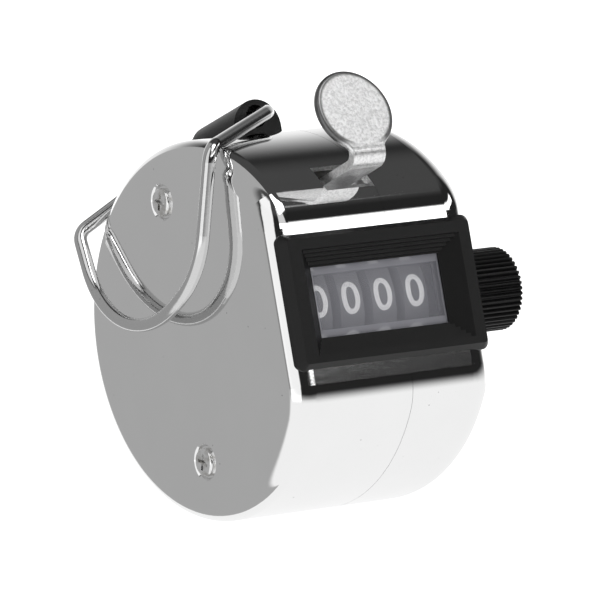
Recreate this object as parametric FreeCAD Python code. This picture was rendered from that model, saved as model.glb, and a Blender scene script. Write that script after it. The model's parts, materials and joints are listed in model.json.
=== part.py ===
import FreeCAD, Part
import math
import os

# Hand tally counter, millimetres.  X runs across the drum towards the reset knob.
# Everything is drawn with the front flat upright, then turned back on the round base.
STAND_ANGLE = 16.5

# casing
DRUM_R = 22.0
DRUM_HALF_W = 14.2
SHEET = 0.6
FLAT_Y = -19.0
CORNER_R = 7.0
EDGE_R_LEFT = 2.6
EDGE_R_RIGHT = 3.8
SEAM_X = 1.8
SEAM_GAP = 0.02
LIP_LENGTH = 2.4
LIP_THICK = 0.5
SLOT_X0 = -4.8
SLOT_BACK = 43.9
SLOT_FRONT = 54.3

# window
RIM_Y = -19.8
RIM_X = (-12.8, 12.65)
RIM_Z = (-6.65, 7.6)
RIM_CHAMFER = (0.72, 1.0)
MOUTH_X = (-11.0, 11.1)
MOUTH_Z = (-6.0, 6.5)
PANE_Y = -18.2
PANE_X = (-9.2, 8.9)
PANE_Z = (-3.78, 4.30)
STEPS = 5
BOSS_BACK_Y = -16.9
LENS_FRONT_Y = -17.9

# number wheels
WHEEL_Y = -6.0
WHEEL_Z = 0.4
WHEEL_R = 9.0
WHEEL_W = 3.3
WHEEL_PITCH = 4.53
UNITS_X = 7.1
SHAFT_R = 1.5
RUN_GAP = 0.05

# carry gearing
MODULE = 0.75
WHEEL_TEETH = 20
PINION_TEETH = 8
GEAR_W = 0.75
PINION_W = 0.55
PINION_OFFSET = 0.3
PINION_ANGLE = -60.0
PINION_SHAFT_R = 0.75
CARRY_DISC_R = 5.3
RATCHET_X0 = 9.4
RATCHET_X1 = 10.1
RATCHET_TIP = 3.9
CLIP_X = (-12.4, 10.8)
CLIP_T = 0.4

# frame
PLATE_T = 0.8
PLATE_R = 18.8
LEFT_PLATE_X = -13.4
RIGHT_PLATE_X = 11.4
POST_R = 2.0
SCREW_POINTS = ((1.6, 15.5), (1.6, -14.8))

# lever
PIVOT_Y = -13.0
PIVOT_Z = -11.0
PIVOT_R = 1.0
LEVER_X = -1.6
LEVER_T = 1.0
NECK_W = 4.4
PADDLE_R = 5.0
PADDLE_Y = -21.0
PADDLE_Z = 21.15
PADDLE_LEAN = 17.0
STRIP_RISE = 10.0
STRIP_Y = -16.5
STRIP_Z = 14.2
ARM_LEFT_X = -11.9
ARM_RIGHT_X = 10.3
ARM_T = 0.8
PAWL_Y = -13.1
PAWL_Z = 6.5
PAWL_X = (9.5, 10.1)
PAWL_RIVET_R = 0.6

# knob
KNOB_X0 = 14.7
KNOB_X1 = 25.55
KNOB_R = 4.9
KNOB_RIBS = 46

# ring and its bracket
HINGE_Y = -1.5
HINGE_Z = 24.3
HINGE_TILT = 4.0
RING_WIRE_R = 0.8
BRACKET_START = 1.9
BRACKET_LENGTH = 10.2
BRACKET_HALF_W = 3.3
BRACKET_RIVET_X = -1.9
BRACKET_RIVET_ANGLES = (10.0, 22.0)
RIVET_R = 0.8
RING_CORNER_1 = (-15.4, -11.6, 19.7)
RING_LOW_1 = (-16.9, -7.6, 5.9)
RING_LOW_2 = (-18.5, 10.1, -3.2)
RING_CORNER_2 = (-16.1, 16.9, 14.5)
RING_BENDS = (3.6, 2.0, 10.4, 12.7, 2.0, 1.5)


def vec(x, y, z):
    return FreeCAD.Vector(x, y, z)


X_AXIS = vec(1, 0, 0)


def rod(x0, x1, radius, y=0.0, z=0.0):
    return Part.makeCylinder(radius, x1 - x0, vec(x0, y, z), X_AXIS)


def tube(x0, x1, outer, inner, y=0.0, z=0.0):
    return rod(x0, x1, outer, y, z).cut(rod(x0 - 0.1, x1 + 0.1, inner, y, z))


def block(x0, x1, y0, y1, z0, z1):
    return Part.makeBox(x1 - x0, y1 - y0, z1 - z0, vec(x0, y0, z0))


def prism(points, x0, x1):
    """Solid between two X positions from (y, z) corner points."""
    corners = [vec(x0, y, z) for y, z in points]
    face = Part.Face(Part.makePolygon(corners + corners[:1]))
    return face.extrude(vec(x1 - x0, 0, 0))


def polar(radius, degrees):
    """(y, z) of a point, the angle counted from +Y towards +Z."""
    angle = math.radians(degrees)
    return radius * math.cos(angle), radius * math.sin(angle)


def join(shapes):
    whole = shapes[0]
    for shape in shapes[1:]:
        whole = whole.fuse(shape)
    return whole.removeSplitter()


# ---------------------------------------------------------------- casing

def casing_body(x0, x1, inset, edge_left=0.0, edge_right=0.0):
    """Drum with a front flat and rounded corners, drawn in from the outside by inset."""
    radius = DRUM_R - inset
    corner = CORNER_R - inset
    flat = FLAT_Y + inset
    corner_y = flat + corner
    corner_z = math.sqrt((radius - corner) ** 2 - corner_y ** 2)
    reach = radius / (radius - corner)
    tangent = (corner_y * reach, corner_z * reach)
    middle = math.radians(180 - 0.5 * math.degrees(math.atan2(corner_z, -corner_y)))
    bulge = (corner_y + corner * math.cos(middle), corner_z + corner * math.sin(middle))
    top = vec(x0, tangent[0], tangent[1])
    low = vec(x0, tangent[0], -tangent[1])
    edges = [
        Part.Arc(low, vec(x0, radius, 0), top).toShape(),
        Part.Arc(top, vec(x0, bulge[0], bulge[1]), vec(x0, flat, corner_z)).toShape(),
        Part.makeLine(vec(x0, flat, corner_z), vec(x0, flat, -corner_z)),
        Part.Arc(vec(x0, flat, -corner_z), vec(x0, bulge[0], -bulge[1]), low).toShape(),
    ]
    body = Part.Face(Part.Wire(edges)).extrude(vec(x1 - x0, 0, 0))
    if edge_left:
        body = body.makeFillet(edge_left, edges_at(body, x0))
    if edge_right:
        body = body.makeFillet(edge_right, edges_at(body, x1))
    return body


def edges_at(body, x):
    found = []
    for edge in body.Edges:
        box = edge.BoundBox
        if abs(box.XMin - x) < 1e-4 and abs(box.XMax - x) < 1e-4:
            found.append(edge)
    return found


def casing_outside():
    return casing_body(-DRUM_HALF_W, DRUM_HALF_W, 0.0, EDGE_R_LEFT, EDGE_R_RIGHT)


def casing_wall():
    half = DRUM_HALF_W - SHEET
    hollow = casing_body(-half, half, SHEET, EDGE_R_LEFT - SHEET, EDGE_R_RIGHT - SHEET)
    return casing_outside().cut(hollow)


def lever_slot(x1):
    """Wedge of space the lever comes out through, open at the seam."""
    outer = 30.0
    points = [(0.0, 0.0)]
    for degrees in (SLOT_BACK, SLOT_FRONT):
        angle = math.radians(degrees)
        points.append((-outer * math.sin(angle), outer * math.cos(angle)))
    return prism(points, SLOT_X0, x1)


def window_hole():
    return block(-10.6, 11.1, FLAT_Y - 1.0, FLAT_Y + 2.5, -5.3, 5.8)


def rivet_cutters(radius):
    cutters = []
    for degrees in BRACKET_RIVET_ANGLES:
        angle = math.radians(degrees)
        outward = vec(0, math.sin(angle), math.cos(angle))
        start = vec(BRACKET_RIVET_X, 0, 0) + outward * (DRUM_R - 2.0)
        cutters.append(Part.makeCylinder(radius, 3.4, start, outward))
    return cutters


def left_shell():
    shell = casing_wall().common(block(-20, SEAM_X - SEAM_GAP, -30, 30, -30, 30))
    face_in = -DRUM_HALF_W + SHEET
    for y, z in SCREW_POINTS:
        shell = shell.fuse(rod(face_in - 0.1, LEFT_PLATE_X, 2.7, y, z))
    for y, z in SCREW_POINTS:
        dimple = Part.makeCone(2.2, 1.85, 0.4, vec(-DRUM_HALF_W, y, z), X_AXIS)
        shell = shell.cut(dimple).cut(rod(-15, -13, 1.1, y, z))
    shell = shell.cut(lever_slot(SEAM_X)).cut(window_hole())
    for cutter in rivet_cutters(RIVET_R):
        shell = shell.cut(cutter)
    return shell


def right_shell():
    start = SEAM_X + SEAM_GAP
    shell = casing_wall().common(block(start, 20, -30, 30, -30, 30))
    lip_out = SHEET + 0.05
    lip_in = SHEET + LIP_THICK
    lip = casing_body(SEAM_X - LIP_LENGTH, start, lip_out)
    root = casing_body(start, start + 1.6, SHEET - 0.1)
    bore = casing_body(SEAM_X - LIP_LENGTH - 1, start + 3, lip_in)
    shell = join([shell, lip.fuse(root).cut(bore)])
    shell = shell.cut(lever_slot(start)).cut(window_hole())
    return shell.cut(rod(10, 16, 2.2, WHEEL_Y, WHEEL_Z))


def case_screw(y, z):
    face = -DRUM_HALF_W
    head = rod(face - 0.35, face + 0.4, 1.65, y, z)
    head = head.makeFillet(0.35, edges_at(head, face - 0.35))
    shank = rod(face + 0.3, -7.0, 0.95, y, z)
    cross = block(face - 1, face + 0.15, y - 0.95, y + 0.95, z - 0.2, z + 0.2)
    cross = cross.fuse(block(face - 1, face + 0.15, y - 0.2, y + 0.2, z - 0.95, z + 0.95))
    cross.rotate(vec(0, y, z), X_AXIS, 25.0)
    return head.fuse(shank).cut(cross)


def case_screws():
    return Part.makeCompound([case_screw(y, z) for y, z in SCREW_POINTS])


# ---------------------------------------------------------------- window

def rounded_outline(x0, x1, z0, z1, y, corner):
    """Rectangle with round corners, standing at one depth."""
    edges = []
    turns = ((x1, z1, 0), (x0, z1, 90), (x0, z0, 180), (x1, z0, 270))
    spots = []
    for x, z, first in turns:
        middle_x = x - corner if x == x1 else x + corner
        middle_z = z - corner if z == z1 else z + corner
        arc = []
        for degrees in (first, first + 45, first + 90):
            across, up = polar(corner, degrees)
            arc.append(vec(middle_x + across, y, middle_z + up))
        spots.append(arc)
    for i, arc in enumerate(spots):
        edges.append(Part.Arc(*arc).toShape())
        edges.append(Part.makeLine(arc[2], spots[(i + 1) % 4][0]))
    return Part.Wire(edges)


def bezel_outline(grow, y, corner):
    return rounded_outline(
        RIM_X[0] - grow, RIM_X[1] + grow, RIM_Z[0] - grow, RIM_Z[1] + grow, y, corner)


def bezel_recess():
    """Sloping ends, with the top and bottom walls cut as fine steps."""
    ends = [
        vec(MOUTH_X[0], RIM_Y, 0), vec(MOUTH_X[1], RIM_Y, 0),
        vec(PANE_X[1], PANE_Y, 0), vec(PANE_X[0], PANE_Y, 0),
    ]
    wedge = Part.Face(Part.makePolygon(ends + ends[:1])).extrude(vec(0, 0, 30))
    wedge.translate(vec(0, 0, -15))
    rise = (PANE_Y - RIM_Y) / STEPS
    slabs = []
    for i in range(STEPS):
        share = (i + 0.5) / STEPS
        z0 = MOUTH_Z[0] + (PANE_Z[0] - MOUTH_Z[0]) * share
        z1 = MOUTH_Z[1] + (PANE_Z[1] - MOUTH_Z[1]) * share
        slabs.append(block(-15, 15, RIM_Y + rise * i, RIM_Y + rise * (i + 1), z0, z1))
    return wedge.common(join(slabs))


def window_bezel():
    wide, deep = RIM_CHAMFER
    front = Part.makeLoft([bezel_outline(0, RIM_Y, 0.4), bezel_outline(wide, RIM_Y + deep, 1.0)], True, True)
    skirt = Part.Face(bezel_outline(wide, RIM_Y + deep, 1.0)).extrude(vec(0, 3.0, 0))
    frame = front.fuse(skirt).removeSplitter()
    frame = frame.cut(casing_outside())
    boss = block(-10.5, 11.0, FLAT_Y - 0.3, BOSS_BACK_Y, -5.2, 5.7)
    frame = frame.fuse(boss).removeSplitter()
    pane = block(PANE_X[0] + 0.06, PANE_X[1] - 0.06, PANE_Y - 0.5, BOSS_BACK_Y + 1, PANE_Z[0], PANE_Z[1])
    rebate = block(-9.85, 10.45, LENS_FRONT_Y, BOSS_BACK_Y + 1, -4.5, 5.0)
    return frame.cut(bezel_recess()).cut(pane).cut(rebate)


def window_lens():
    plate = block(-9.8, 10.4, LENS_FRONT_Y, BOSS_BACK_Y, -4.45, 4.95)
    base = lens_outline(0.08, LENS_FRONT_Y)
    crown = lens_outline(0.95, LENS_FRONT_Y - 0.25)
    return join([plate, Part.makeLoft([base, crown], True, True)])


def lens_outline(inset, y):
    x0 = PANE_X[0] + inset
    x1 = PANE_X[1] - inset
    z0 = PANE_Z[0] + inset
    z1 = PANE_Z[1] - inset
    corners = [vec(x0, y, z0), vec(x1, y, z0), vec(x1, y, z1), vec(x0, y, z1)]
    return Part.makePolygon(corners + corners[:1])


# ---------------------------------------------------------------- counting train

def gear_points(teeth, centre_y, centre_z, first_tooth):
    """Plain cut teeth with a little backlash; first_tooth is the angle of one tooth."""
    pitch_r = MODULE * teeth / 2.0
    tip = pitch_r + 0.72 * MODULE
    root = pitch_r - 1.05 * MODULE
    half_pitch = 0.2 * math.pi * MODULE
    slope = math.tan(math.radians(20.0))
    levels = [(root, 1.0), (pitch_r, 0.0), (tip, -1.0)]
    points = []
    for i in range(teeth):
        middle = first_tooth + 360.0 * i / teeth
        flank = []
        for radius, side in levels:
            half = half_pitch + slope * (pitch_r - radius)
            flank.append((radius, math.degrees(half / radius)))
        for radius, half in flank:
            points.append((radius, middle - half))
        for radius, half in reversed(flank):
            points.append((radius, middle + half))
    placed = []
    for radius, degrees in points:
        y, z = polar(radius, degrees)
        placed.append((centre_y + y, centre_z + z))
    return placed


def wheel_x(place):
    """Middle of a number wheel, place 0 being the units."""
    return UNITS_X - WHEEL_PITCH * place


def number_wheel(place):
    x = wheel_x(place)
    left = x - WHEEL_W / 2
    right = x + WHEEL_W / 2
    rim = tube(left, right, WHEEL_R, WHEEL_R - 0.8, WHEEL_Y, WHEEL_Z)
    web = rod(right - 0.7, right, WHEEL_R - 0.5, WHEEL_Y, WHEEL_Z)
    hub = rod(left - 0.3, right, 3.0, WHEEL_Y, WHEEL_Z)
    parts = [rim, web, hub]
    if place > 0:
        teeth = gear_points(WHEEL_TEETH, WHEEL_Y, WHEEL_Z, PINION_ANGLE)
        parts.append(prism(teeth, right - 0.1, right + GEAR_W))
    else:
        parts.append(rod(right, right + 1.45, 2.3, WHEEL_Y, WHEEL_Z))
    if place < 3:
        parts.append(carry_disc(left))
    bore = rod(left - 1, right + 3, SHAFT_R + RUN_GAP, WHEEL_Y, WHEEL_Z)
    return join(parts).cut(bore)


def carry_disc(left):
    """Blank disc with the two carry teeth of a number wheel."""
    disc = rod(left - 0.3, left + 0.4, CARRY_DISC_R, WHEEL_Y, WHEEL_Z)
    teeth = []
    for degrees in (150.0, 168.0):
        tooth = block(left - 0.3, left + 0.4, WHEEL_Y + 4.8, WHEEL_Y + 6.2, WHEEL_Z - 0.45, WHEEL_Z + 0.45)
        tooth.rotate(vec(0, WHEEL_Y, WHEEL_Z), X_AXIS, degrees)
        teeth.append(tooth)
    return join([disc] + teeth)


def pinion_centre():
    y, z = polar(MODULE * (WHEEL_TEETH + PINION_TEETH) / 2.0, PINION_ANGLE)
    return WHEEL_Y + y, WHEEL_Z + z


def pinion_x(place):
    return wheel_x(place) + WHEEL_W / 2 + PINION_OFFSET


def carry_pinion(place):
    y, z = pinion_centre()
    x = pinion_x(place)
    gap_tooth = PINION_ANGLE + 180.0 + 180.0 / PINION_TEETH
    body = prism(gear_points(PINION_TEETH, y, z, gap_tooth), x, x + PINION_W)
    return body.cut(rod(x - 1, x + 2, PINION_SHAFT_R + RUN_GAP, y, z))


def pinion_shaft():
    y, z = pinion_centre()
    return rod(LEFT_PLATE_X, RIGHT_PLATE_X + PLATE_T, PINION_SHAFT_R, y, z)


def pinion_spacers():
    y, z = pinion_centre()
    starts = [LEFT_PLATE_X + PLATE_T]
    ends = []
    for place in (3, 2, 1):
        ends.append(pinion_x(place) - 0.1)
        starts.append(pinion_x(place) + PINION_W + 0.1)
    ends.append(RIGHT_PLATE_X)
    sleeves = [tube(a, b, 1.15, PINION_SHAFT_R, y, z) for a, b in zip(starts, ends)]
    return Part.makeCompound(sleeves)


def ratchet_wheel():
    points = []
    for i in range(10):
        points.append(polar(RATCHET_TIP, 36.0 * i))
        points.append(polar(3.1, 36.0 * i + 3.0))
    points = [(WHEEL_Y + y, WHEEL_Z + z) for y, z in points]
    body = prism(points, RATCHET_X0, RATCHET_X1)
    return body.cut(rod(9, 11, 2.3, WHEEL_Y, WHEEL_Z))


def wheel_shaft():
    shaft = rod(-13.3, 23.5, SHAFT_R, WHEEL_Y, WHEEL_Z)
    for x in CLIP_X:
        shaft = shaft.cut(tube(x, x + CLIP_T, 2.0, 1.2, WHEEL_Y, WHEEL_Z))
    return shaft.cut(knob_pin())


def shaft_clip(x):
    ring = tube(x, x + CLIP_T, 2.5, 1.2, WHEEL_Y, WHEEL_Z)
    mouth = block(x - 1, x + 1, WHEEL_Y - 0.9, WHEEL_Y + 0.9, WHEEL_Z - 4, WHEEL_Z)
    return ring.cut(mouth)


def shaft_clips():
    return Part.makeCompound([shaft_clip(x) for x in CLIP_X])


# ---------------------------------------------------------------- reset knob

def reset_knob():
    points = []
    for i in range(KNOB_RIBS):
        middle = 360.0 * i / KNOB_RIBS
        for radius, turn in ((KNOB_R - 0.42, -3.3), (KNOB_R, -0.9), (KNOB_R, 0.9), (KNOB_R - 0.42, 3.3)):
            y, z = polar(radius, middle + turn)
            points.append((WHEEL_Y + y, WHEEL_Z + z))
    body = prism(points, KNOB_X0, KNOB_X1)
    form = rod(KNOB_X0, KNOB_X1, KNOB_R + 0.01, WHEEL_Y, WHEEL_Z)
    form = form.makeFillet(0.2, edges_at(form, KNOB_X1))
    bore = rod(KNOB_X0 - 1, 23.5, SHAFT_R, WHEEL_Y, WHEEL_Z)
    return body.common(form).cut(bore).cut(knob_pin())


def knob_pin():
    return Part.makeCylinder(0.5, 8.4, vec(17.4, WHEEL_Y, WHEEL_Z - 4.2), vec(0, 0, 1))


# ---------------------------------------------------------------- frame

def frame_plate(x):
    """Round plate cut back at the front, with holes for pins, shafts and posts."""
    plate = rod(x, x + PLATE_T, PLATE_R).cut(block(x - 1, x + 2, -30, -16.2, -30, 30))
    plate = plate.cut(rod(x - 1, x + 2, SHAFT_R + RUN_GAP, WHEEL_Y, WHEEL_Z))
    plate = plate.cut(rod(x - 1, x + 2, PIVOT_R, PIVOT_Y, PIVOT_Z))
    y, z = pinion_centre()
    plate = plate.cut(rod(x - 1, x + 2, PINION_SHAFT_R, y, z))
    for z in (-5.0, 5.0):
        plate = plate.cut(block(x - 1, x + 2, 8.0, 8.8, z - 1.5, z + 1.5))
    return plate


def frame_left_plate():
    plate = frame_plate(LEFT_PLATE_X)
    for y, z in SCREW_POINTS:
        plate = plate.cut(rod(-15, -12, 1.1, y, z))
    return plate


def frame_right_plate():
    plate = frame_plate(RIGHT_PLATE_X)
    for y, z in SCREW_POINTS:
        plate = plate.cut(rod(11, 13, POST_R, y, z))
    return plate


def frame_back_plate():
    x0 = LEFT_PLATE_X + PLATE_T
    parts = [block(x0, RIGHT_PLATE_X, 8.0, 8.8, -9.0, 9.0)]
    for z in (-5.0, 5.0):
        parts.append(block(LEFT_PLATE_X, RIGHT_PLATE_X + PLATE_T, 8.0, 8.8, z - 1.5, z + 1.5))
    return join(parts)


def frame_posts():
    posts = []
    for y, z in SCREW_POINTS:
        post = rod(LEFT_PLATE_X + PLATE_T, DRUM_HALF_W - SHEET, POST_R, y, z)
        posts.append(post.cut(rod(-13, -6, 1.0, y, z)))
    return Part.makeCompound(posts)


def backstop_spring():
    """Leaf on the back plate that reaches forward beside the ratchet."""
    foot = block(6.5, RATCHET_X1, 7.7, 8.0, -8.5, -3.6)
    leaf = prism([(8.0, -3.9), (8.0, -3.6), (-2.0, -1.9), (-2.0, -2.2)], RATCHET_X0, RATCHET_X1)
    return join([foot, leaf])


# ---------------------------------------------------------------- lever

def strip_direction():
    y, z = polar(1.0, 180.0 - STRIP_RISE)
    return vec(0, y, z)


def lever_knee():
    """Point where the strip's line meets the paddle's line."""
    forward = strip_direction()
    lean = math.tan(math.radians(PADDLE_LEAN))
    slope = forward.z / forward.y
    y = (PADDLE_Y + lean * (STRIP_Z - PADDLE_Z - slope * STRIP_Y)) / (1.0 - lean * slope)
    return vec(LEVER_X, y, STRIP_Z + slope * (y - STRIP_Y))


def knee_bend():
    """Rounded bend of the sheet between the strip and the neck."""
    knee = lever_knee()
    up = vec(0, math.sin(math.radians(PADDLE_LEAN)), math.cos(math.radians(PADDLE_LEAN)))
    inward = strip_direction() * -1.0
    start = knee + inward * 9.0
    end = knee + up * 3.2
    path = rounded_path([start, knee, end], [1.35])
    half = NECK_W / 2
    side = up.cross(X_AXIS)
    side.normalize()
    normal = strip_direction().cross(X_AXIS)
    normal.normalize()
    corners = []
    for across, through in ((-1, -1), (1, -1), (1, 1), (-1, 1)):
        corners.append(start + X_AXIS * (half * across) + normal * (LEVER_T / 2 * through))
    outline = Part.makePolygon(corners + corners[:1])
    return path.makePipeShell([outline], True, False)


def paddle():
    """Round thumb pad running into the neck with hollow shoulders."""
    shoulder = 1.8
    half = NECK_W / 2
    drop = math.sqrt((PADDLE_R + shoulder) ** 2 - (half + shoulder) ** 2)
    share = PADDLE_R / (PADDLE_R + shoulder)
    touch = ((half + shoulder) * share, -drop * share)
    bow = math.atan2(drop, half + shoulder)
    turn = 0.5 * (math.pi + math.pi - bow)
    waist = (half + shoulder + shoulder * math.cos(turn), -drop + shoulder * math.sin(turn))
    foot = -(vec(LEVER_X, PADDLE_Y, PADDLE_Z) - lever_knee()).Length + 3.0

    def spot(x, h):
        return vec(x, 0, h)

    edges = [
        Part.Arc(spot(touch[0], touch[1]), spot(0, PADDLE_R), spot(-touch[0], touch[1])).toShape(),
        Part.Arc(spot(-touch[0], touch[1]), spot(-waist[0], waist[1]), spot(-half, -drop)).toShape(),
        Part.makeLine(spot(-half, -drop), spot(-half, foot)),
        Part.makeLine(spot(-half, foot), spot(half, foot)),
        Part.makeLine(spot(half, foot), spot(half, -drop)),
        Part.Arc(spot(half, -drop), spot(waist[0], waist[1]), spot(touch[0], touch[1])).toShape(),
    ]
    pad = Part.Face(Part.Wire(edges)).extrude(vec(0, LEVER_T, 0))
    rims = [e for e in pad.Edges if e.BoundBox.YLength < 1e-4 and e.BoundBox.ZMax > foot + 0.1]
    rims = [e for e in rims if e.BoundBox.ZLength > 0.1]
    pad = pad.makeFillet(0.42, rims)
    pad.translate(vec(LEVER_X, PADDLE_Y - LEVER_T / 2, PADDLE_Z))
    pad.rotate(vec(LEVER_X, PADDLE_Y, PADDLE_Z), X_AXIS, -PADDLE_LEAN)
    return pad


def lever_arm(x):
    """Side arm from the cross bar down to the pivot eye."""
    points = [(-15.0, 14.4), (-12.6, 14.0), (-11.4, -11.0), (-14.6, -11.0)]
    arm = prism(points, x, x + ARM_T).fuse(rod(x, x + ARM_T, 2.0, PIVOT_Y, PIVOT_Z))
    arm = arm.cut(rod(x - 1, x + 2, PIVOT_R + RUN_GAP, PIVOT_Y, PIVOT_Z))
    if x > 0:
        arm = arm.cut(rod(x - 1, x + 2, PAWL_RIVET_R, PAWL_Y, PAWL_Z))
    return arm


def cross_bar():
    inward = strip_direction() * -1.0
    x0 = ARM_LEFT_X
    x1 = ARM_RIGHT_X + ARM_T
    start = vec(x0, STRIP_Y, STRIP_Z) + inward * 1.7
    normal = strip_direction().cross(X_AXIS)
    normal.normalize()
    corners = []
    for along, through in ((0, -1), (2.4, -1), (2.4, 1), (0, 1)):
        corners.append(start + inward * along + normal * (LEVER_T / 2 * through))
    face = Part.Face(Part.makePolygon(corners + corners[:1]))
    return face.extrude(vec(x1 - x0, 0, 0))


def thumb_lever():
    return join([knee_bend(), paddle(), cross_bar(), lever_arm(ARM_LEFT_X), lever_arm(ARM_RIGHT_X)])


def lever_pivot_pin():
    return rod(LEFT_PLATE_X, RIGHT_PLATE_X + PLATE_T, PIVOT_R, PIVOT_Y, PIVOT_Z)


def drive_pawl():
    """Hooked pawl on the right arm; its nose waits above the ratchet."""
    x0, x1 = PAWL_X
    points = [(-13.1, 5.3), (-9.4, 5.3), (-8.6, 4.75), (-8.1, 5.9), (-10.0, 7.1), (-13.1, 7.8)]
    body = prism(points, x0, x1).fuse(rod(x0, x1, 1.4, PAWL_Y, PAWL_Z))
    return body.cut(rod(x0 - 1, x1 + 1, PAWL_RIVET_R + RUN_GAP, PAWL_Y, PAWL_Z))


def pawl_rivet():
    shank = rod(PAWL_X[0] - 0.1, ARM_RIGHT_X + ARM_T, PAWL_RIVET_R, PAWL_Y, PAWL_Z)
    head = rod(PAWL_X[0] - 0.4, PAWL_X[0] - 0.1, 1.0, PAWL_Y, PAWL_Z)
    return head.fuse(shank)


def pawl_spring():
    """Thin leaf from the arm that leans on the back of the pawl."""
    foot = block(9.6, ARM_RIGHT_X, -14.6, -13.6, 10.0, 12.0)
    leaf = prism([(-13.9, 11.8), (-13.6, 11.8), (-10.6, 7.75), (-10.9, 7.75)], 9.6, 10.0)
    return join([foot, leaf])


def lever_return_spring():
    """Coil on the pivot pin with one leg up the lever and one against the frame."""
    coil_r = 1.75
    wire_r = 0.25
    x0 = -10.6
    pitch = 0.62
    turns = 5.25
    helix = Part.makeHelix(pitch, pitch * turns, coil_r)
    circle = Part.Wire(Part.makeCircle(wire_r, vec(coil_r, 0, 0), vec(0, 1, 0)))
    coil = helix.makePipeShell([circle], True, True)
    coil.rotate(vec(0, 0, 0), vec(0, 1, 0), 90)
    coil.rotate(vec(0, 0, 0), X_AXIS, -90)
    coil.translate(vec(x0, PIVOT_Y, PIVOT_Z))
    up_leg = Part.makeCylinder(wire_r, 9.0, vec(x0, PIVOT_Y - coil_r, PIVOT_Z), vec(0, 0, 1))
    x1 = x0 + pitch * turns
    low_leg = Part.makeCylinder(wire_r, 5.0, vec(x1, PIVOT_Y, PIVOT_Z - coil_r), vec(0, 1, 0))
    return Part.makeCompound([coil, up_leg, low_leg])


# ---------------------------------------------------------------- finger ring

def rounded_path(points, radii):
    """Straight lines joined by arcs, as one smooth wire."""
    edges = []
    start = points[0]
    for i, radius in enumerate(radii):
        before, corner, after = points[i], points[i + 1], points[i + 2]
        arm_in = (before - corner).normalize()
        arm_out = (after - corner).normalize()
        half = 0.5 * arm_in.getAngle(arm_out)
        setback = radius / math.tan(half)
        enter = corner + arm_in * setback
        leave = corner + arm_out * setback
        middle = corner + (arm_in + arm_out).normalize() * (radius / math.sin(half) - radius)
        edges.append(Part.makeLine(start, enter))
        edges.append(Part.Arc(enter, middle, leave).toShape())
        start = leave
    edges.append(Part.makeLine(start, points[-1]))
    return Part.Wire(edges)


def hinge_direction():
    tilt = math.radians(HINGE_TILT)
    return vec(0, math.cos(tilt), -math.sin(tilt))


def hinge_point(along):
    return vec(0, HINGE_Y, HINGE_Z) + hinge_direction() * along


def finger_ring():
    ends = (5.6, 8.4)
    points = [
        hinge_point(ends[0]), hinge_point(-1.5), vec(*RING_CORNER_1), vec(*RING_LOW_1),
        vec(*RING_LOW_2), vec(*RING_CORNER_2), hinge_point(13.6), hinge_point(ends[1]),
    ]
    path = rounded_path(points, RING_BENDS)
    profile = Part.Wire(Part.makeCircle(RING_WIRE_R, points[0], hinge_direction()))
    return path.makePipeShell([profile], True, False)


def bracket_profile(along, half_w, top):
    """Arched outline standing on a base well inside the casing."""
    low = -5.0
    edges = [
        Part.Arc(vec(-half_w, 0, top - half_w), vec(0, 0, top), vec(half_w, 0, top - half_w)).toShape(),
        Part.makeLine(vec(half_w, 0, top - half_w), vec(half_w, 0, low)),
        Part.makeLine(vec(half_w, 0, low), vec(-half_w, 0, low)),
        Part.makeLine(vec(-half_w, 0, low), vec(-half_w, 0, top - half_w)),
    ]
    wire = Part.Wire(edges)
    wire.translate(hinge_point(along))
    return wire


def ring_bracket():
    front = bracket_profile(BRACKET_START, BRACKET_HALF_W, 2.0)
    back = bracket_profile(BRACKET_START + BRACKET_LENGTH, BRACKET_HALF_W - 0.5, 1.25)
    body = Part.makeLoft([front, back], True, True)
    body = body.cut(casing_body(-20, 20, 0.0))
    along = hinge_direction()
    bore = Part.makeCylinder(RING_WIRE_R + 0.07, 30, hinge_point(-5), along)
    mouth = Part.makeCylinder(1.35, 2.5, hinge_point(BRACKET_START - 1.3), along)
    body = body.cut(bore).cut(mouth)
    for cutter in rivet_cutters(RIVET_R):
        body = body.cut(cutter)
    return body


def bracket_rivets():
    rivets = []
    for degrees in BRACKET_RIVET_ANGLES:
        angle = math.radians(degrees)
        outward = vec(0, math.sin(angle), math.cos(angle))
        start = vec(BRACKET_RIVET_X, 0, 0)
        inside = DRUM_R - SHEET
        shank = Part.makeCylinder(RIVET_R, SHEET + 0.9, start + outward * (inside - 0.3), outward)
        head = Part.makeCylinder(1.1, 0.45, start + outward * (inside - 0.5), outward)
        rivets.append(head.fuse(shank))
    return Part.makeCompound(rivets)


# ---------------------------------------------------------------- write the pieces

def all_pieces():
    pieces = {
        "left_shell": left_shell(),
        "right_shell": right_shell(),
        "case_screws": case_screws(),
        "window_bezel": window_bezel(),
        "window_lens": window_lens(),
        "ring_bracket": ring_bracket(),
        "bracket_rivets": bracket_rivets(),
        "finger_ring": finger_ring(),
        "frame_left_plate": frame_left_plate(),
        "frame_right_plate": frame_right_plate(),
        "frame_back_plate": frame_back_plate(),
        "frame_posts": frame_posts(),
        "wheel_shaft": wheel_shaft(),
        "shaft_clips": shaft_clips(),
        "reset_knob": reset_knob(),
        "knob_pin": knob_pin(),
        "ratchet_wheel": ratchet_wheel(),
        "pinion_shaft": pinion_shaft(),
        "pinion_spacers": pinion_spacers(),
        "thumb_lever": thumb_lever(),
        "lever_pivot_pin": lever_pivot_pin(),
        "lever_return_spring": lever_return_spring(),
        "drive_pawl": drive_pawl(),
        "pawl_rivet": pawl_rivet(),
        "pawl_spring": pawl_spring(),
        "backstop_spring": backstop_spring(),
    }
    for place, name in enumerate(("units", "tens", "hundreds", "thousands")):
        pieces[name + "_wheel"] = number_wheel(place)
    for place, name in ((1, "tens"), (2, "hundreds"), (3, "thousands")):
        pieces[name + "_pinion"] = carry_pinion(place)
    return pieces


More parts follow.
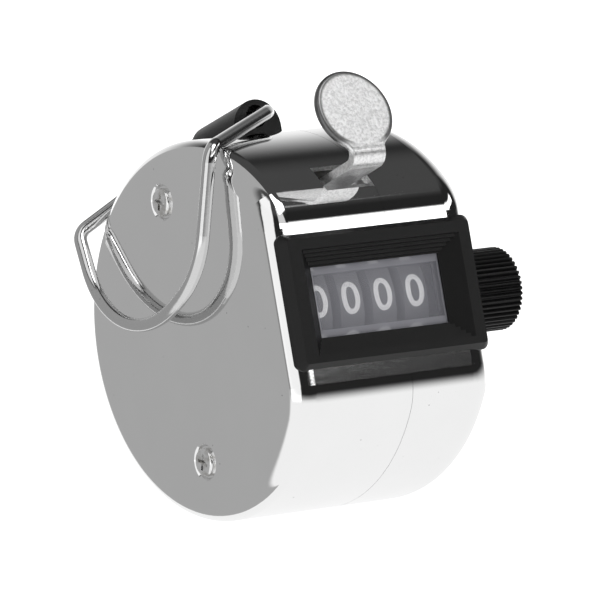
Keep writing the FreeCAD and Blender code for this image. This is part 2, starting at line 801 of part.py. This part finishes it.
def write_pieces():
    pieces = all_pieces()
    whole = FreeCAD.BoundBox()
    for shape in pieces.values():
        shape.rotate(vec(0, 0, 0), X_AXIS, -STAND_ANGLE)
        whole.add(shape.optimalBoundingBox(False))
    shift = vec(-whole.Center.x, -whole.Center.y, -whole.ZMin)
    print("drum axis at", shift.x, shift.y, shift.z)
    os.makedirs("parts", exist_ok=True)
    for name, shape in pieces.items():
        shape.translate(shift)
        shape.exportStep("parts/" + name + ".step")


write_pieces()
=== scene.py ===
"""Hand tally counter: finishes, printed figures, studio and camera round the CAD frame."""
import json
import math

import bpy
from mathutils import Matrix, Vector


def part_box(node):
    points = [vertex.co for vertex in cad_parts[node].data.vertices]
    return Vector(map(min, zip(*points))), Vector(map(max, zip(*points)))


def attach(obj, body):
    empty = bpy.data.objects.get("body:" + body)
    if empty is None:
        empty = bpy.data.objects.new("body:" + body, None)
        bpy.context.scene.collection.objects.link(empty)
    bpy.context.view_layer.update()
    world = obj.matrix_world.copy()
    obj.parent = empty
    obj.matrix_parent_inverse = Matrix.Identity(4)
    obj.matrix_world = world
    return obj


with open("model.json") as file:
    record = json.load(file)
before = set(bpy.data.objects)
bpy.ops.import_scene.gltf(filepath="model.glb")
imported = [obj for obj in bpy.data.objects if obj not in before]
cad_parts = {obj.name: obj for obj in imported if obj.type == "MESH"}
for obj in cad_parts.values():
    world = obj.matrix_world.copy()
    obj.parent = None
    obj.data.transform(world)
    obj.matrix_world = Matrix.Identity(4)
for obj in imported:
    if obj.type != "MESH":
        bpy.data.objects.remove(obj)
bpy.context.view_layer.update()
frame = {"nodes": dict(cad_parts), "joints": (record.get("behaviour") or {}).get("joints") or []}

MM = 0.001
NODES = frame["nodes"]
JOINTS = {joint["name"]: joint for joint in frame["joints"]}

# The flat of the case leans back by this much when the counter stands on its drum.
LEAN = math.radians(-16.5)
DRUM_R = 22.0 * MM
WHEEL_R = 9.0 * MM
WHEEL_AXIS = Vector(JOINTS["units_spin"]["pos_m"])
DRUM_AXIS = Vector((WHEEL_AXIS.x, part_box("left_shell")[1].y - DRUM_R, DRUM_R))
LEAN_TURN = Matrix.Rotation(LEAN, 4, "X")

# The round pad of the thumb lever.
PAD_R = 5.0 * MM
LEVER_PAD = DRUM_AXIS + LEAN_TURN @ Vector((-1.6 * MM, -21.0 * MM, 21.15 * MM))

# The pane seen through the window frame, and its frosted border.
PANE_SHIFT = 0.45 * MM
PANE_HALF_W = 9.55 * MM
PANE_HALF_H = 4.04 * MM
PANE_BORDER = 1.0 * MM

NUMERAL_H = 3.9 * MM
NUMERAL_W = 2.5 * MM
NARROW_ONE = 0.55
NUMERAL_RISE = 0.25 * MM
NUMERAL_SMOOTHNESS = 6
NUMERAL_BOLDNESS = 0.012
NUMERAL_BANDS = 14
INK_TOP = 0.035 * MM
INK_DEPTH = 0.03 * MM
TENTH_TURN = math.radians(36.0)
WHEELS = ("units", "tens", "hundreds", "thousands")

# How bright each part of the studio is; 1 is paper white.
FLOOR_GLOW = 0.856
ROOM = 1.03
FLAGS = 0.018
DIM_TOP = 0.045
BELOW = 0.98
BEHIND_LEFT = 0.42
KEY_BOX = 2.4
TOP_BOX = 5.0
SIDE_BOX = 0.7
BACK_GLOW = 0.95

CAMERA_DISTANCE = 0.8138
CAMERA_BACK = Vector((-0.57345, -0.80187, 0.16781))
CAMERA_TARGET = DRUM_AXIS + Vector((0.000903, -0.000149, 0.002374))
CAMERA_LENS = 422.73
CAMERA_SENSOR = 36.0


# ------------------------------------------------------------------ modelling

def deselect_all():
    """Leaves nothing selected, so that an operator acts only on what is picked next."""
    for thing in bpy.context.selected_objects:
        thing.select_set(False)


def pick(thing):
    """Selects one object and makes it active."""
    deselect_all()
    thing.select_set(True)
    bpy.context.view_layer.objects.active = thing


def settle(thing):
    """Puts an object's place, turn and size into its mesh."""
    pick(thing)
    bpy.ops.object.transform_apply(location=True, rotation=True, scale=True)
    return thing


def apply_modifier(thing, kind, name, **settings):
    """Adds a modifier, sets it up and applies it."""
    pick(thing)
    modifier = thing.modifiers.new(name, kind)
    for key, value in settings.items():
        setattr(modifier, key, value)
    bpy.ops.object.modifier_apply(modifier=name)


def own_copy(thing, name):
    """A copy of a piece with its own mesh."""
    twin = thing.copy()
    twin.data = thing.data.copy()
    twin.name = name
    twin.data.name = name
    bpy.context.scene.collection.objects.link(twin)
    return twin


# ------------------------------------------------------------------ shader maths

# A Mix node's colour inputs and output, which share their names with its other kinds.
MIX_FIRST = 6
MIX_SECOND = 7
MIX_RESULT = 2


class Value:
    """A number-valued socket; arithmetic on it adds Math nodes to its tree."""

    def __init__(self, nodes, socket):
        self.nodes = nodes
        self.socket = socket

    def maths(self, operation, *values, clamp=False):
        """One Math node that takes these values."""
        settings = {"operation": operation, "use_clamp": clamp}
        inputs = {i: value for i, value in enumerate(values)}
        return self.nodes.value("ShaderNodeMath", settings, inputs)

    def __add__(self, other):
        return self.maths("ADD", self, other)

    def __radd__(self, other):
        return self.maths("ADD", other, self)

    def __sub__(self, other):
        return self.maths("SUBTRACT", self, other)

    def __rsub__(self, other):
        return self.maths("SUBTRACT", other, self)

    def __mul__(self, other):
        return self.maths("MULTIPLY", self, other)

    def __rmul__(self, other):
        return self.maths("MULTIPLY", other, self)

    def clamped(self):
        """Held between 0 and 1."""
        return self.maths("ADD", self, 0.0, clamp=True)

    def size(self):
        """Without its sign."""
        return self.maths("ABSOLUTE", self)

    def over(self, other):
        """The larger of the two."""
        return self.maths("MAXIMUM", self, other)

    def step(self, low, high):
        """0 below low, 1 above high, smooth between; low may be the larger."""
        settings = {"interpolation_type": "SMOOTHSTEP"}
        inputs = {"Value": self, "From Min": low, "From Max": high}
        return self.nodes.value("ShaderNodeMapRange", settings, inputs, "Result")

    def window(self, low, high, soft):
        """1 between low and high, 0 outside, with soft edges."""
        return self.step(low - soft, low + soft) * self.step(high + soft, high - soft)


class Nodes:
    """A node tree being built."""

    def __init__(self, tree):
        self.tree = tree
        self.tree.nodes.clear()

    def plug(self, socket, value):
        """Links a value or socket into an input, or sets the input to a constant."""
        if isinstance(value, Value):
            value = value.socket
        if isinstance(value, bpy.types.NodeSocket):
            self.tree.links.new(value, socket)
        else:
            socket.default_value = value

    def node(self, kind, settings, inputs):
        """Any node: its settings are made first, then its inputs are filled."""
        node = self.tree.nodes.new(kind)
        for key, value in settings.items():
            setattr(node, key, value)
        for key, value in inputs.items():
            name = key.replace("_", " ") if isinstance(key, str) else key
            self.plug(node.inputs[name], value)
        return node

    def value(self, kind, settings, inputs, output=0):
        """A node of which one number is wanted."""
        return Value(self, self.node(kind, settings, inputs).outputs[output])

    def split(self, vector):
        """The three parts of a vector."""
        node = self.node("ShaderNodeSeparateXYZ", {}, {0: vector})
        return [Value(self, socket) for socket in node.outputs]


class Finish(Nodes):
    """A material being built: one shader, and the nodes that feed it."""

    def __init__(self, name, **shader):
        self.material = bpy.data.materials.new(name)
        self.material.use_nodes = True
        super().__init__(self.material.node_tree)
        self.place = None
        self.shader = self.node("ShaderNodeBsdfPrincipled", {}, shader)
        self.node("ShaderNodeOutputMaterial", {}, {"Surface": self.shader.outputs[0]})

    def set(self, **inputs):
        """Fills inputs of the shader by their names, with _ for a space."""
        for key, value in inputs.items():
            self.plug(self.shader.inputs[key.replace("_", " ")], value)

    def position(self):
        """The object's own coordinates, which are the frame's, in metres."""
        if self.place is None:
            self.place = self.node("ShaderNodeTexCoord", {}, {}).outputs["Object"]
        return self.place

    def measure(self, operation, other, output=0):
        """A Vector Math node on the object's coordinates and one more vector."""
        settings = {"operation": operation}
        inputs = {0: self.position(), 1: tuple(other)}
        return self.node("ShaderNodeVectorMath", settings, inputs).outputs[output]

    def turned(self, centre, angle):
        """Coordinates about a centre, turned about X so that they lie square to the flat."""
        inputs = {"Vector": self.measure("SUBTRACT", centre), "Angle": angle}
        spun = self.node("ShaderNodeVectorRotate", {"rotation_type": "X_AXIS"}, inputs)
        return self.split(spun.outputs[0])

    def noise(self, grain, detail=2.0, roughness=0.5, vector=None):
        """Noise from 0 to 1 whose lumps are about grain metres across."""
        inputs = {
            "Vector": vector or self.position(),
            "Scale": 1.0 / grain,
            "Detail": detail,
            "Roughness": roughness,
        }
        return self.value("ShaderNodeTexNoise", {"noise_dimensions": "3D"}, inputs, "Fac")

    def cells(self, pitch):
        """Distance from the middle of the nearest cell, in cells."""
        inputs = {"Vector": self.position(), "Scale": 1.0 / pitch}
        return self.value("ShaderNodeTexVoronoi", {"feature": "F1"}, inputs, "Distance")

    def blend(self, factor, first, second):
        """A colour between two, by factor."""
        node = self.node("ShaderNodeMix", {"data_type": "RGBA"}, {"Factor": factor})
        self.plug(node.inputs[MIX_FIRST], colour_of(first))
        self.plug(node.inputs[MIX_SECOND], colour_of(second))
        return node.outputs[MIX_RESULT]

    def relief(self, height, depth):
        """A bump of that depth in metres at height 1."""
        bump = self.node("ShaderNodeBump", {}, {"Strength": 1.0, "Distance": depth, "Height": height})
        self.set(Normal=bump.outputs[0])


def colour_of(value):
    """Gives a plain colour its fourth number and lets sockets through."""
    if isinstance(value, tuple):
        return (*value, 1.0) if len(value) == 3 else value
    return value


def grey(level):
    """A colour with no hue."""
    return (level, level, level)


# ------------------------------------------------------------------ finishes

def specks(finish, pitch, size, share):
    """Scattered small specks: 1 in a speck, 0 elsewhere, in a share of the cells."""
    cell = finish.cells(pitch)
    where = finish.noise(pitch * 3.1, 1.0)
    return cell.step(size, size * 0.4) * where.step(1.0 - share, 1.0 - share + 0.04)


def plated_chrome(name, bright, dullness, peel, pitting):
    """Thin bright plating over pressed steel: orange peel, fine pits and a few dull specks."""
    finish = Finish(name, Metallic=1.0)
    cloud = finish.noise(7.0 * MM, 2.0)
    fine = finish.noise(0.22 * MM, 2.0, 0.6)
    wave = finish.noise(1.1 * MM, 2.0, 0.5)
    pin = specks(finish, 1.3 * MM, 0.10, 0.40)
    colour = finish.blend(cloud, grey(bright), grey(bright * 0.96))
    finish.set(
        Base_Color=finish.blend(pin * 0.6, colour, grey(0.30)),
        Roughness=dullness + fine * 0.03 + pin * 0.2,
    )
    finish.relief(wave * 0.5 + fine * pitting - pin * 0.2, peel)
    return finish.material


def tumbled_lever(name):
    """Plating over a tumbled stamping: mottled and half matt, with a painted dark reflection round
    the pad's curled rim.
    """
    finish = Finish(name, Metallic=1.0)
    mottle = finish.noise(0.34 * MM, 3.0, 0.65)
    cloud = finish.noise(1.8 * MM, 2.0)
    away = Value(finish, finish.measure("DISTANCE", LEVER_PAD, "Value"))
    height = finish.split(finish.position())[2]
    # Painted reflection: near the pad's curled rim the base colour is darkened almost to black.
    painted_dark_rim = away.step(PAD_R - 0.75 * MM, PAD_R - 0.4 * MM)
    on_pad = height.step(LEVER_PAD.z - 3.6 * MM, LEVER_PAD.z - 2.6 * MM)
    body = finish.blend(mottle.step(0.34, 0.62), grey(0.72), grey(1.0))
    body = finish.blend(cloud.step(0.3, 0.7) * 0.25, body, grey(0.75))
    finish.set(
        Base_Color=finish.blend(painted_dark_rim * on_pad * 0.88, body, grey(0.07)),
        Roughness=0.26 + mottle * 0.16,
    )
    finish.relief(mottle, 0.02 * MM)
    return finish.material


def nickel_screw(name):
    """Plated screw heads: fine scratches and a little tarnish."""
    finish = Finish(name, Metallic=1.0)
    scratches = finish.noise(0.16 * MM, 2.0, 0.6)
    tarnish = finish.noise(0.8 * MM, 2.0)
    finish.set(
        Base_Color=finish.blend(tarnish.step(0.4, 0.7), grey(0.86), (0.62, 0.61, 0.59)),
        Roughness=0.14 + scratches * 0.12,
    )
    finish.relief(scratches, 0.006 * MM)
    return finish.material


def black_moulding(name, base, shine):
    """Satin black moulded plastic with a fine spark-eroded grain and a little dust."""
    finish = Finish(name)
    grain = finish.noise(0.11 * MM, 3.0, 0.65)
    cloud = finish.noise(3.0 * MM, 2.0)
    dust = specks(finish, 0.55 * MM, 0.17, 0.3)
    body = finish.blend(cloud, grey(base), grey(base * 1.5))
    finish.set(
        Base_Color=finish.blend(dust * 0.5, body, (0.09, 0.09, 0.09)),
        Roughness=shine + grain * 0.16 + dust * 0.2,
        Specular_IOR_Level=0.25,
    )
    finish.relief(grain + dust * 0.6, 0.012 * MM)
    return finish.material


def window_plastic(name):
    """Clear moulded window: polished middle, frosted bevelled border."""
    low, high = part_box("window_lens")
    centre = (low + high) / 2 - Vector((PANE_SHIFT, 0.0, 0.0))
    finish = Finish(name, IOR=1.49)
    across, _, up = finish.turned(centre, -LEAN)
    side = across.size().step(PANE_HALF_W - PANE_BORDER, PANE_HALF_W - PANE_BORDER * 0.8)
    edge = up.size().step(PANE_HALF_H - PANE_BORDER, PANE_HALF_H - PANE_BORDER * 0.8)
    rim = side.over(edge)
    haze = finish.noise(2.2 * MM, 2.0)
    frost = finish.noise(0.2 * MM, 2.0)
    finish.set(
        Base_Color=finish.blend(rim, (0.20, 0.20, 0.225), (0.23, 0.23, 0.255)),
        Roughness=0.12 + rim * 0.35 + frost * rim * 0.15,
        Alpha=(0.36 + haze * 0.06 + rim * 0.3).clamped(),
    )
    finish.relief(haze * 0.5 + frost * rim, 0.003 * MM)
    finish.material.blend_method = "BLEND"
    return finish.material


def wheel_plastic(name):
    """Matt grey moulded number wheels."""
    finish = Finish(name)
    grain = finish.noise(0.12 * MM, 2.0, 0.6)
    cloud = finish.noise(2.5 * MM, 2.0)
    finish.set(
        Base_Color=finish.blend(cloud, (0.42, 0.42, 0.44), (0.47, 0.47, 0.49)),
        Roughness=0.5 + grain * 0.15,
    )
    finish.relief(grain, 0.008 * MM)
    return finish.material


def numeral_ink(name):
    """Off-white stamped ink, a little thin in places, with painted light: it glows so that the
    figures read behind the pane.
    """
    finish = Finish(name)
    thin = finish.noise(0.5 * MM, 3.0, 0.6)
    grain = finish.noise(0.08 * MM, 2.0)
    finish.set(
        Base_Color=finish.blend(thin.step(0.35, 0.7), (0.95, 0.95, 0.95), (0.84, 0.84, 0.85)),
        Roughness=0.55 + grain * 0.15,
    )
    # Painted light: the ink glows as if lit, though it is no lamp.
    finish.set(Emission_Color=finish.blend(thin, grey(0.9), grey(1.0)), Emission_Strength=0.85)
    finish.relief(grain, 0.004 * MM)
    return finish.material


def gear_plastic(name):
    """Natural white moulded gears."""
    finish = Finish(name)
    cloud = finish.noise(1.5 * MM, 2.0)
    grain = finish.noise(0.1 * MM, 2.0)
    finish.set(
        Base_Color=finish.blend(cloud, (0.78, 0.76, 0.70), (0.70, 0.68, 0.62)),
        Roughness=0.42 + grain * 0.12,
    )
    finish.relief(grain, 0.006 * MM)
    return finish.material


def bare_metal(name, first, second, rough, grain_size, draw):
    """Plain sheet or wire: fine lines drawn out by draw's three factors, and stains from handling."""
    finish = Finish(name, Metallic=1.0)
    lines = finish.noise(grain_size, 3.0, 0.6, finish.measure("MULTIPLY", draw))
    stain = finish.noise(3.2 * MM, 3.0, 0.6)
    finish.set(
        Base_Color=finish.blend(stain.step(0.4, 0.7), first, second),
        Roughness=rough + lines * 0.18,
    )
    finish.relief(lines, 0.006 * MM)
    return finish.material


def make_finishes():
    """A finish for each material slot of the frame."""
    sheet, stained_sheet = grey(0.60), (0.45, 0.44, 0.42)
    wire, stained_wire = (0.5, 0.5, 0.51), (0.36, 0.35, 0.34)
    brass, stained_brass = (0.80, 0.62, 0.30), (0.62, 0.45, 0.20)
    return {
        "chrome": plated_chrome("chrome", bright=0.88, dullness=0.03, peel=0.002 * MM, pitting=0.4),
        "steel_screw": nickel_screw("steel_screw"),
        "black_plastic": black_moulding("black_plastic", base=0.0032, shine=0.30),
        "clear_plastic": window_plastic("clear_plastic"),
        "wheel_plastic": wheel_plastic("wheel_plastic"),
        "gear_plastic": gear_plastic("gear_plastic"),
        "plain_steel": bare_metal("plain_steel", sheet, stained_sheet, 0.24, 0.3 * MM, (1, 1, 6)),
        "spring_steel": bare_metal("spring_steel", wire, stained_wire, 0.2, 0.2 * MM, (4, 1, 1)),
        "brass": bare_metal("brass", brass, stained_brass, 0.2, 0.3 * MM, (1, 1, 3)),
    }


def finish_cad_nodes(finishes):
    """Gives every node of the frame the finish that its slot names; lever and ring have their own."""
    own = {
        "thumb_lever": tumbled_lever("lever_chrome"),
        "finger_ring": plated_chrome(
            "ring_nickel", bright=0.66, dullness=0.10, peel=0.008 * MM, pitting=0.3
        ),
    }
    for node in NODES.values():
        for material_slot in node.material_slots:
            name = material_slot.material.name.split(".")[0]
            material_slot.material = own.get(node.name, finishes[name])


# ------------------------------------------------------------------ numerals

def flat_numeral(number, place):
    """One printed figure as a thin sheet that stands upright, facing -Y, round a place."""
    deselect_all()
    bpy.ops.object.text_add(location=(0, 0, 0))
    text = bpy.context.object
    text.data.body = str(number)
    text.data.resolution_u = NUMERAL_SMOOTHNESS
    text.data.offset = NUMERAL_BOLDNESS
    text.data.size = 1.0
    pick(text)
    bpy.ops.object.convert(target="MESH")
    figure = bpy.context.object
    figure.name = f"numeral_{number}"
    corners = [Vector(corner) for corner in figure.bound_box]
    low = Vector(min(c[i] for c in corners) for i in range(3))
    high = Vector(max(c[i] for c in corners) for i in range(3))
    middle = (low + high) / 2
    width = NUMERAL_W * (NARROW_ONE if number == 1 else 1.0)
    figure.data.transform(Matrix.Translation(-middle))
    figure.scale = (width / (high.x - low.x), NUMERAL_H / (high.y - low.y), 1.0)
    figure.rotation_euler = (math.radians(90) + LEAN, 0, 0)
    figure.location = place
    return settle(figure)


def slice_across(figure, place, direction, cuts):
    """Bisects a flat figure into bands, so that it can bend round its wheel."""
    pick(figure)
    bpy.ops.object.mode_set(mode="EDIT")
    for i in range(1, cuts):
        level = (i / cuts - 0.5) * NUMERAL_H
        bpy.ops.mesh.select_all(action="SELECT")
        bpy.ops.mesh.bisect(plane_co=place + direction * level, plane_no=direction)
    bpy.ops.mesh.select_all(action="SELECT")
    bpy.ops.mesh.quads_convert_to_tris()
    bpy.ops.object.mode_set(mode="OBJECT")


def wrapped_numeral(number):
    """A figure bent on to the units wheel where the window shows it, as a thin raised print."""
    outward = LEAN_TURN @ Vector((0, -1, 0))
    upward = LEAN_TURN @ Vector((0, 0, 1))
    place = WHEEL_AXIS + outward * (WHEEL_R + 0.1 * MM) + upward * NUMERAL_RISE
    place.x = rim_middle("units")
    figure = flat_numeral(number, place)
    slice_across(figure, place, upward, NUMERAL_BANDS)
    apply_modifier(
        figure, "SHRINKWRAP", "wrap",
        target=NODES["units_wheel"], wrap_method="NEAREST_SURFACEPOINT",
        wrap_mode="ABOVE_SURFACE", offset=INK_TOP,
    )
    apply_modifier(figure, "SOLIDIFY", "ink", thickness=INK_DEPTH, offset=-1.0)
    return figure


def turn_about_wheels(figure, angle, shift):
    """Turns a figure about the wheels' axis and moves it along the axis."""
    to_axis = Matrix.Translation(-WHEEL_AXIS)
    to_wheel = Matrix.Translation(WHEEL_AXIS + Vector((shift, 0, 0)))
    figure.matrix_world = to_wheel @ Matrix.Rotation(angle, 4, "X") @ to_axis
    settle(figure)


def print_numerals(ink):
    """Ten figures round each wheel; a wheel turned on by a tenth shows the next one."""
    patterns = [wrapped_numeral(number) for number in range(10)]
    for wheel in WHEELS:
        shift = rim_middle(wheel) - rim_middle("units")
        for number, pattern in enumerate(patterns):
            figure = own_copy(pattern, f"{wheel}_numeral_{number}")
            turn_about_wheels(figure, -TENTH_TURN * number, shift)
            figure.data.materials.clear()
            figure.data.materials.append(ink)
            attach(figure, wheel)
    for pattern in patterns:
        bpy.data.objects.remove(pattern)


def rim_middle(wheel):
    """Middle of a wheel's printed rim along the axis."""
    node = NODES[f"{wheel}_wheel"]
    rim = [
        v.co.x for v in node.data.vertices
        if math.hypot(v.co.y - WHEEL_AXIS.y, v.co.z - WHEEL_AXIS.z) > WHEEL_R - 0.05 * MM
    ]
    return (min(rim) + max(rim)) / 2


# ------------------------------------------------------------------ studio

def make_floor():
    """A white ground that takes a faint shadow and stays out of the plating."""
    deselect_all()
    bpy.ops.mesh.primitive_plane_add(size=30.0, location=(0, 0, 0))
    floor = bpy.context.object
    floor.name = "studio_floor"
    finish = Finish("studio_floor", Roughness=0.9, Specular_IOR_Level=0.1)
    tone = finish.noise(0.4, 2.0)
    finish.set(
        Base_Color=finish.blend(tone, grey(0.55), grey(0.57)),
        Emission_Color=finish.blend(tone, grey(0.97), grey(1.0)),
        Emission_Strength=FLOOR_GLOW,
    )
    floor.data.materials.append(finish.material)
    floor.visible_glossy = False


def mirrored_light(sky):
    """What the plating mirrors: dark flags and bright boxes, placed by angle.

    Angles are in degrees. Around is 0 in front and grows to the right, and up is 0 at the horizon.
    """
    to_degrees = 180 / math.pi
    direction = sky.node("ShaderNodeTexCoord", {}, {}).outputs["Generated"]
    x, y, z = sky.split(direction)
    around = x.maths("ARCTAN2", x, -1.0 * y) * to_degrees
    up = z.maths("ARCSINE", z) * to_degrees

    light = FLAGS + up.step(38.0, 50.0) * DIM_TOP + up.step(6.0, -13.0) * BELOW
    behind_left = around.step(-100.0, -114.0)
    light = light * (1.0 - behind_left) + behind_left * BEHIND_LEFT
    # The front boxes' edges rise by 4.8 degrees between 37 degrees to the right and 13 to the left.
    tilted = up - ((37.0 - around) * 0.02).clamped() * 4.8
    low_edge = tilted.step(16.9, 17.35)
    key_box = around.window(-16.0, 82.0, 2.0) * low_edge * tilted.step(27.5, 22.5)
    side_box = around.window(-16.0, 24.0, 2.0) * low_edge * up.step(62.0, 54.0)
    top_box = around.window(-5.0, 56.0, 3.0) * up.window(48.0, 80.0, 3.0)
    left_box = around.window(-98.0, -46.0, 3.0) * up.window(-8.0, 72.0, 4.0)
    back_glow = around.window(105.0, 190.0, 10.0) * up.step(42.0, 6.0) * up.step(-14.0, -4.0)
    light = light.over(key_box * KEY_BOX).over(top_box * TOP_BOX).over(side_box * SIDE_BOX)
    return light + left_box + back_glow * BACK_GLOW


def make_studio():
    """A white room that lights the piece, in which the plating mirrors boxes and flags."""
    world = bpy.data.worlds.new("studio")
    bpy.context.scene.world = world
    world.use_nodes = True
    sky = Nodes(world.node_tree)
    mirror = sky.value("ShaderNodeLightPath", {}, {}, "Is Glossy Ray")
    strength = mirrored_light(sky) * mirror + (1.0 - mirror) * ROOM
    backdrop = sky.node("ShaderNodeBackground", {}, {"Color": (1, 1, 1, 1), "Strength": strength})
    sky.node("ShaderNodeOutputWorld", {}, {"Surface": backdrop.outputs[0]})


def make_camera():
    """A long lens, well back, looking a little down on the window."""
    data = bpy.data.cameras.new("camera")
    camera = bpy.data.objects.new("camera", data)
    bpy.context.scene.collection.objects.link(camera)
    data.sensor_width = CAMERA_SENSOR
    data.sensor_fit = "HORIZONTAL"
    data.lens = CAMERA_LENS
    data.clip_start = 0.05
    data.clip_end = 100.0
    camera.location = CAMERA_TARGET + CAMERA_BACK.normalized() * CAMERA_DISTANCE
    camera.rotation_euler = CAMERA_BACK.to_track_quat("Z", "Y").to_euler()
    bpy.context.scene.camera = camera


FINISHES = make_finishes()
finish_cad_nodes(FINISHES)
print_numerals(numeral_ink("numeral_ink"))
make_floor()
make_studio()
make_camera()
bpy.context.scene.view_settings.view_transform = "Standard"
